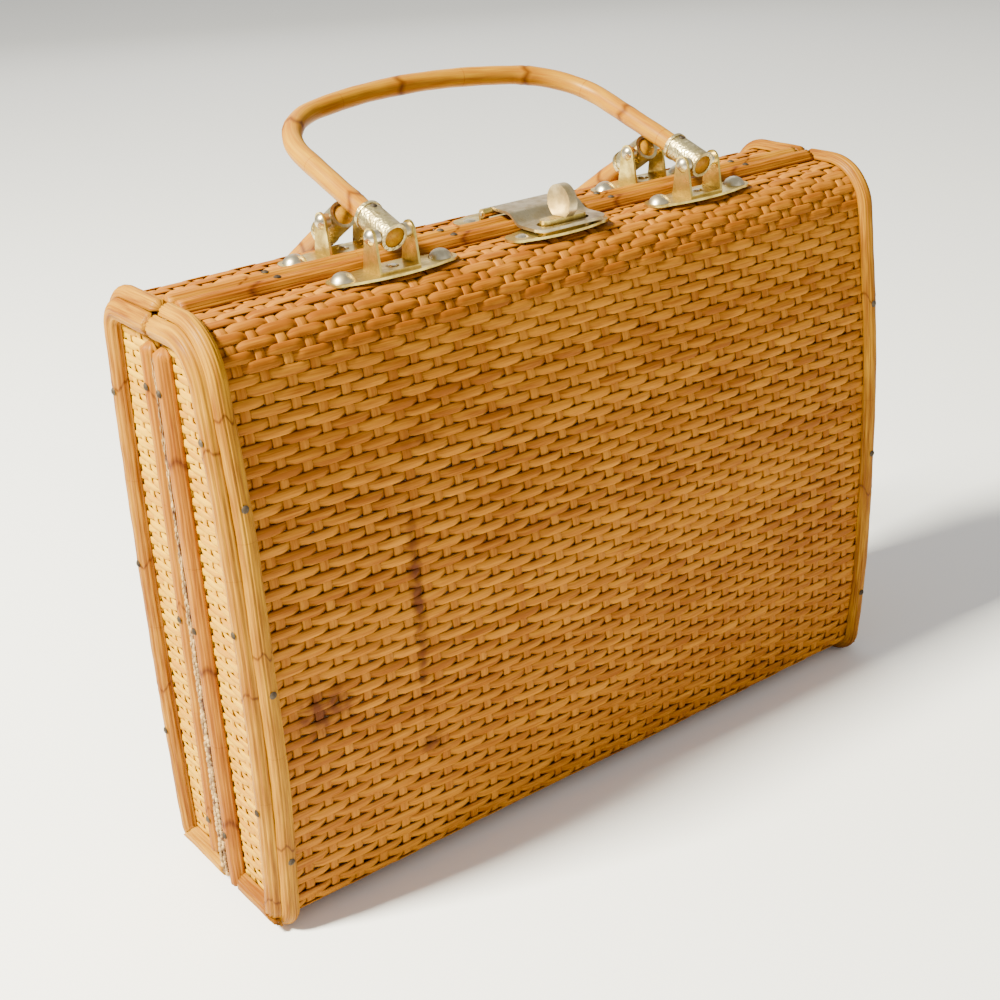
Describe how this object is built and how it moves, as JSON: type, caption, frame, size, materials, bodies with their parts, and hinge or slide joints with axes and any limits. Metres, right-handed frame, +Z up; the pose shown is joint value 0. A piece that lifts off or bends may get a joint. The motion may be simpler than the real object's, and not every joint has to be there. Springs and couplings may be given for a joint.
{
  "type": "basket box bag",
  "caption": "Clamshell handbag of woven cane: two trays hinged along the bottom, split-cane rims, a turn-lock hasp on top and a swinging round-cane handle on each tray.",
  "frame": {"origin": "on the ground, midway along the line where the two trays meet, under the bottom hinges", "axes": "+X along the length of the bag, +Y towards the rear tray, +Z up"},
  "size_m": [0.3404, 0.1557, 0.2931],
  "materials": {
    "woven_cane": "flat varnished weft cane over cane stakes, honey brown",
    "split_cane": "varnished split rattan with brown nodes",
    "handle_cane": "varnished round rattan, golden yellow",
    "inner_cane": "bare rattan",
    "lining_cloth": "plain woven cotton, matt",
    "braid": "brown and cream gimp braid",
    "brass": "aged pressed brass",
    "ferrule_brass": "aged brass, finely textured",
    "nickel": "worn nickel plate",
    "nail_steel": "dull steel"
  },
  "bodies": {
    "rear_half": {"rear_bottom_end_poles": "split_cane", "rear_bottom_rim_pole": "split_cane", "rear_braid": "braid", "rear_clevis_rivets": "nickel", "rear_clevises": "brass", "rear_dome_rivets": "nickel", "rear_end_rim_poles": "split_cane", "rear_frame_rods": "inner_cane", "rear_handle_pins": "nickel", "rear_handle_plates": "brass", "rear_hinge_leaves": "nickel", "rear_hinge_nails": "nail_steel", "rear_left_end_pole": "split_cane", "rear_left_face_pole": "split_cane", "rear_lining": "lining_cloth", "rear_pivot_washers": "nickel", "rear_pole_nails": "nail_steel", "rear_right_end_pole": "split_cane", "rear_right_face_pole": "split_cane", "rear_rim_hoop": "inner_cane", "rear_top_batten": "inner_cane", "rear_top_rim_pole": "split_cane", "rear_woven_ends": "woven_cane", "rear_woven_face": "woven_cane", "hasp_base": "brass", "hasp_pin": "nickel", "hinge_pins": "nickel"},
    "front_half": {"front_bottom_end_poles": "split_cane", "front_bottom_rim_pole": "split_cane", "front_braid": "braid", "front_clevis_rivets": "nickel", "front_clevises": "brass", "front_dome_rivets": "nickel", "front_end_rim_poles": "split_cane", "front_frame_rods": "inner_cane", "front_handle_pins": "nickel", "front_handle_plates": "brass", "front_hinge_leaves": "nickel", "front_hinge_nails": "nail_steel", "front_left_end_pole": "split_cane", "front_left_face_pole": "split_cane", "front_lining": "lining_cloth", "front_pivot_washers": "nickel", "front_pole_nails": "nail_steel", "front_right_end_pole": "split_cane", "front_right_face_pole": "split_cane", "front_rim_hoop": "inner_cane", "front_top_batten": "inner_cane", "front_top_rim_pole": "split_cane", "front_woven_ends": "woven_cane", "front_woven_face": "woven_cane", "lock_plate": "brass"},
    "hasp": {"hasp_plate": "nickel"},
    "knob": {"turn_knob": "nickel"},
    "front_handle": {"front_handle_rod": "handle_cane", "front_ferrules": "ferrule_brass", "front_ferrule_nails": "nail_steel"},
    "rear_handle": {"rear_handle_rod": "handle_cane", "rear_ferrules": "ferrule_brass", "rear_ferrule_nails": "nail_steel"}
  },
  "joints": [
    {"name": "basket_opening", "type": "hinge", "parent": "rear_half", "child": "front_half", "pos_m": [0, 0, 0.0022], "axis": [1, 0, 0], "range_deg": [0, 90]},
    {"name": "hasp_lift", "type": "hinge", "parent": "rear_half", "child": "hasp", "pos_m": [0.005, 0.0082, 0.2485], "axis": [1, 0, 0], "range_deg": [-117, 0]},
    {"name": "knob_turn", "type": "hinge", "parent": "front_half", "child": "knob", "pos_m": [0.004, -0.017, 0.2488], "axis": [0, 0, 1], "range_deg": [0, 90]},
    {"name": "front_handle_swing", "type": "hinge", "parent": "front_half", "child": "front_handle", "pos_m": [0, -0.017, 0.257], "axis": [1, 0, 0], "range_deg": [0, 194]},
    {"name": "rear_handle_swing", "type": "hinge", "parent": "rear_half", "child": "rear_handle", "pos_m": [0, 0.017, 0.257], "axis": [1, 0, 0], "range_deg": [0, 48]}
  ],
  "couplings": [
    {"joint": "hasp_lift", "follows": "basket_opening", "ratio": -1.3},
    {"joint": "knob_turn", "follows": "basket_opening", "ratio": 1}
  ]
}
